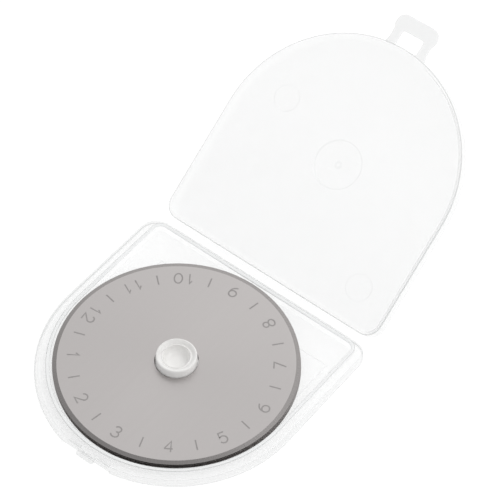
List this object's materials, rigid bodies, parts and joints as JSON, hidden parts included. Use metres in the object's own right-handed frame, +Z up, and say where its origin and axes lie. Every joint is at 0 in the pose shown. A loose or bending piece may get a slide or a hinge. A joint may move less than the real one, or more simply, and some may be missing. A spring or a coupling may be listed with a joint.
{
  "type": "rotary cutter blade pack",
  "caption": "Circular cutter blades stacked on the post of a hinged, D-shaped storage case with a clear lid that has a hang tab.",
  "frame": {"origin": "centre of the blade post's axis at the underside of the tray, the flat face that the case rests on", "axes": "+X along the hinge, +Y from the tray's front latch towards the hinge and lid, +Z up the blade post"},
  "size_m": [0.0516, 0.0991, 0.0329],
  "materials": {
    "case_polypropylene": "satin",
    "blade_steel": "satin"
  },
  "bodies": {
    "tray": {"base_tray": "case_polypropylene"},
    "lid": {"lid": "case_polypropylene"},
    "blade_1": {"blade_1": "blade_steel"},
    "blade_2": {"blade_2": "blade_steel"},
    "blade_3": {"blade_3": "blade_steel"},
    "blade_4": {"blade_4": "blade_steel"},
    "blade_5": {"blade_5": "blade_steel"}
  },
  "joints": [
    {"name": "lid_hinge", "type": "hinge", "parent": "tray", "child": "lid", "pos_m": [0, 0.02545, 0.001], "axis": [-1, 0, 0], "range_deg": [-145, 35]},
    {"name": "blade_1_lift", "type": "slide", "parent": "tray", "child": "blade_1", "axis": [0, 0, 1], "range_m": [0, 0.0034]},
    {"name": "blade_2_lift", "type": "slide", "parent": "blade_1", "child": "blade_2", "axis": [0, 0, 1], "range_m": [0, 0.0034]},
    {"name": "blade_3_lift", "type": "slide", "parent": "blade_2", "child": "blade_3", "axis": [0, 0, 1], "range_m": [0, 0.0034]},
    {"name": "blade_4_lift", "type": "slide", "parent": "blade_3", "child": "blade_4", "axis": [0, 0, 1], "range_m": [0, 0.0034]},
    {"name": "blade_5_lift", "type": "slide", "parent": "blade_4", "child": "blade_5", "axis": [0, 0, 1], "range_m": [0, 0.0034]}
  ]
}
